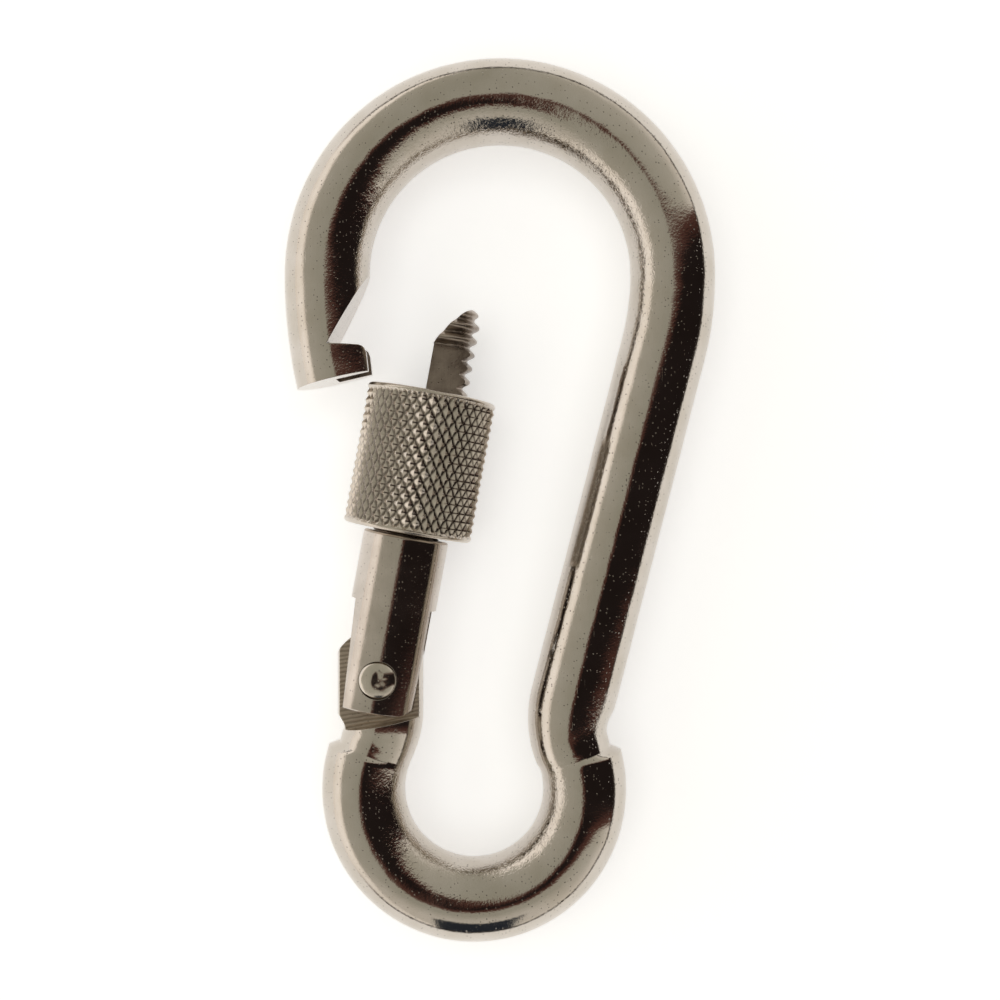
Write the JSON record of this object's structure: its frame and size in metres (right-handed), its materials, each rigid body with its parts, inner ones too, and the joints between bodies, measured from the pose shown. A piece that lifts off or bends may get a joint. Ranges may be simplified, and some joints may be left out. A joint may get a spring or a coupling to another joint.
{
  "type": "screw-lock snap hook",
  "caption": "Steel snap hook bent from round rod, with a sprung hinged gate and a knurled screw sleeve that locks it.",
  "frame": {"origin": "centre of the bounding box at rest", "axes": "+Y along the hook from the eye bow to the load bow, +X from the gate to the spine, +Z out of the hook's plane"},
  "size_m": [0.04, 0.0818, 0.012],
  "materials": {
    "polished_rod": "barrel-polished nickel plate, fine pits",
    "turned_gate": "nickel plate over turned and milled faces",
    "knurled_sleeve": "diamond knurl, nickel plate",
    "rivet": "peened",
    "plunger": "turned",
    "spring_wire": "drawn wire"
  },
  "bodies": {
    "hook": {"hook_body": "polished_rod"},
    "gate": {"gate": "turned_gate", "hinge_rivet": "rivet", "closing_spring": "spring_wire"},
    "sleeve": {"locking_sleeve": "knurled_sleeve"},
    "plunger": {"plunger": "plunger"}
  },
  "joints": [
    {"name": "gate_hinge", "type": "hinge", "parent": "hook", "child": "gate", "pos_m": [-0.0111, -0.01635, 0], "axis": [0, 0, -1], "range_deg": [-16.8, 16.6], "stiffness_Nm_per_rad": 0.05, "springref_deg": -51.57},
    {"name": "sleeve_travel", "type": "slide", "parent": "gate", "child": "sleeve", "axis": [0.1805, 0.9836, 0], "range_m": [0, 0.007]},
    {"name": "plunger_slide", "type": "slide", "parent": "gate", "child": "plunger", "axis": [0.1805, 0.9836, 0], "range_m": [-0.00055, 0.00055], "deforming": ["closing_spring"]}
  ],
  "couplings": [
    {"joint": "plunger_slide", "follows": "gate_hinge", "m_per_rad": 0.001715}
  ]
}
